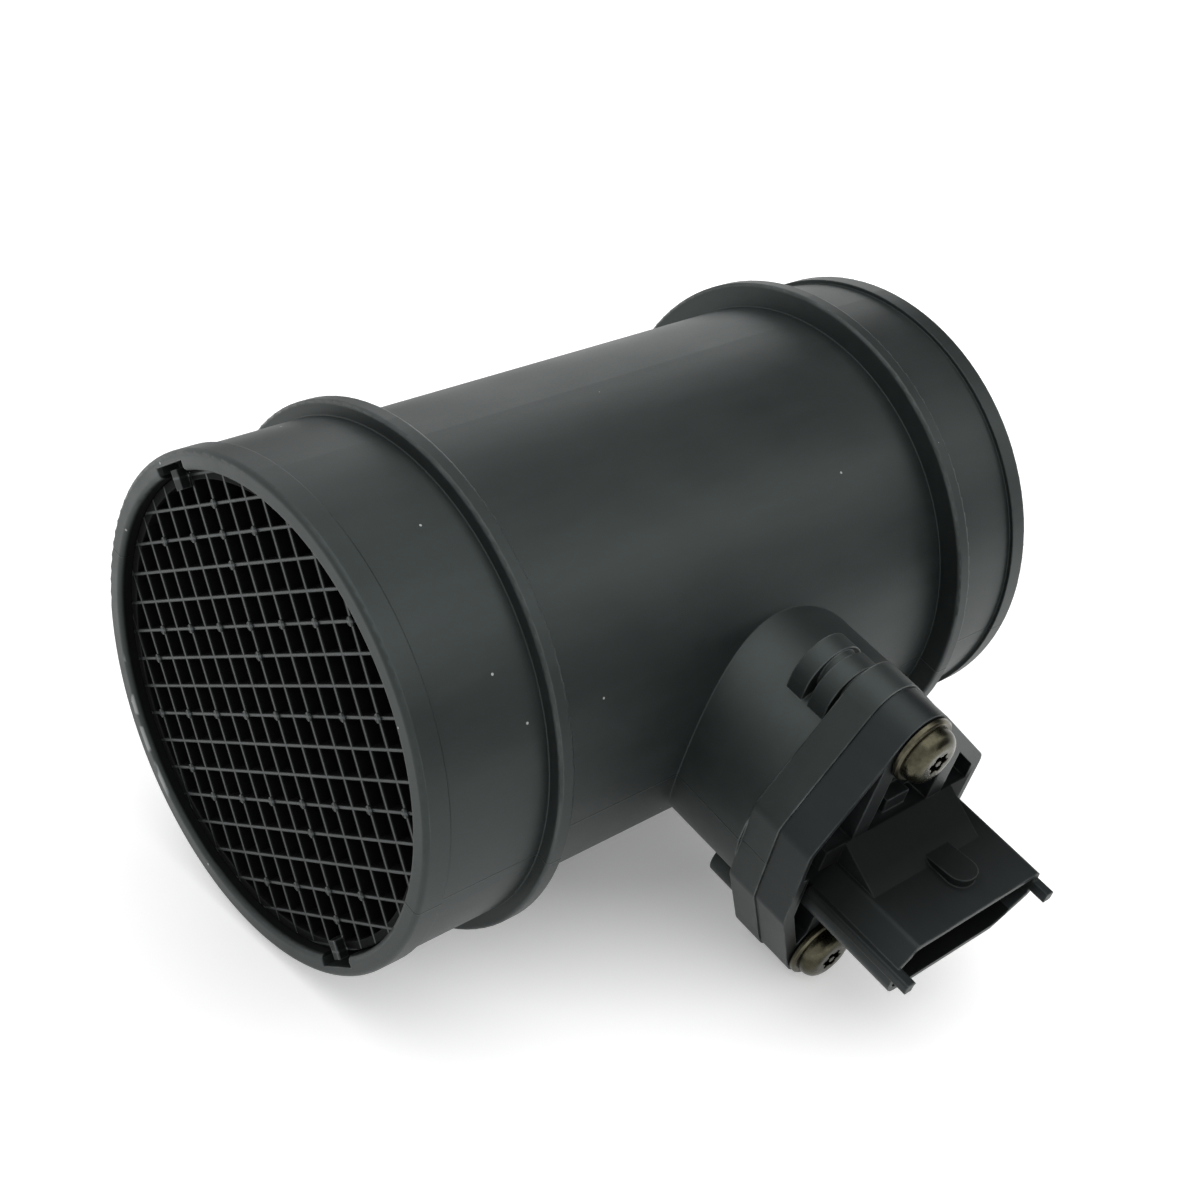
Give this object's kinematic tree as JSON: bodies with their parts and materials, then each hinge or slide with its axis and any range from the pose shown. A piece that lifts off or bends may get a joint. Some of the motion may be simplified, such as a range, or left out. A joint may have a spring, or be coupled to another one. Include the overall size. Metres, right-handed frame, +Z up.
{
  "type": "mass airflow sensor",
  "caption": "Mass airflow sensor: a black moulded duct with clamping beads and collars, a crossed-blade grid in its inlet, and a plug-in sensor with a wide connector screwed to a side port.",
  "frame": {"origin": "centre of the inlet face, on the duct axis", "axes": "+X along the air flow, from the inlet to the outlet; +Z up, with the duct lying on its two collars and on the lower screw lobe of the sensor flange; -Y on the side of the port"},
  "size_m": [0.13, 0.1243, 0.0838],
  "materials": {
    "duct_plastic": "semi-matt black glass-filled plastic of the duct, fine moulded grain, a cool grey sheen",
    "sensor_plastic": "satin black glass-filled plastic of the plug-in sensor, rubbed lighter at its edges",
    "grid_plastic": "satin dark grey plastic of the flow grid, bright on the blade edges",
    "cover_plastic": "satin black plastic of the stem covers",
    "seal_rubber": "matt black oil-resistant rubber",
    "screw_steel": "dull yellow-olive passivated steel",
    "washer_steel": "dull yellow-olive passivated steel, flat and lightly marked",
    "carrier_aluminium": "plain rolled aluminium sheet",
    "board_green": "green solder-mask laminate with a low gloss",
    "chip_black": "matt black moulded chip package",
    "capacitor_tan": "tan ceramic body with a low gloss",
    "terminal_tin": "tin-plated brass, soft metallic lustre",
    "element_ceramic": "off-white ceramic strip, low gloss",
    "film_glass": "dark blue glassy thin film",
    "bead_glass": "dark green glassy bead, smooth"
  },
  "bodies": {
    "root": {"housing": "duct_plastic", "inlet_grid": "grid_plastic", "sensor_body": "sensor_plastic", "port_seal": "seal_rubber", "carrier_plate": "carrier_aluminium", "circuit_board": "board_green", "signal_chip": "chip_black", "capacitor_1": "capacitor_tan", "capacitor_2": "capacitor_tan", "capacitor_3": "capacitor_tan", "electronics_cover": "cover_plastic", "channel_cover": "cover_plastic", "flow_element": "element_ceramic", "film_chip": "film_glass", "temperature_bead": "bead_glass", "sensor_post_1": "terminal_tin", "sensor_post_2": "terminal_tin", "terminal_1": "terminal_tin", "terminal_2": "terminal_tin", "terminal_3": "terminal_tin", "terminal_4": "terminal_tin", "terminal_5": "terminal_tin", "screw_washer_1": "washer_steel", "screw_washer_2": "washer_steel", "flange_screw_1": "screw_steel", "flange_screw_2": "screw_steel"}
  },
  "joints": []
}
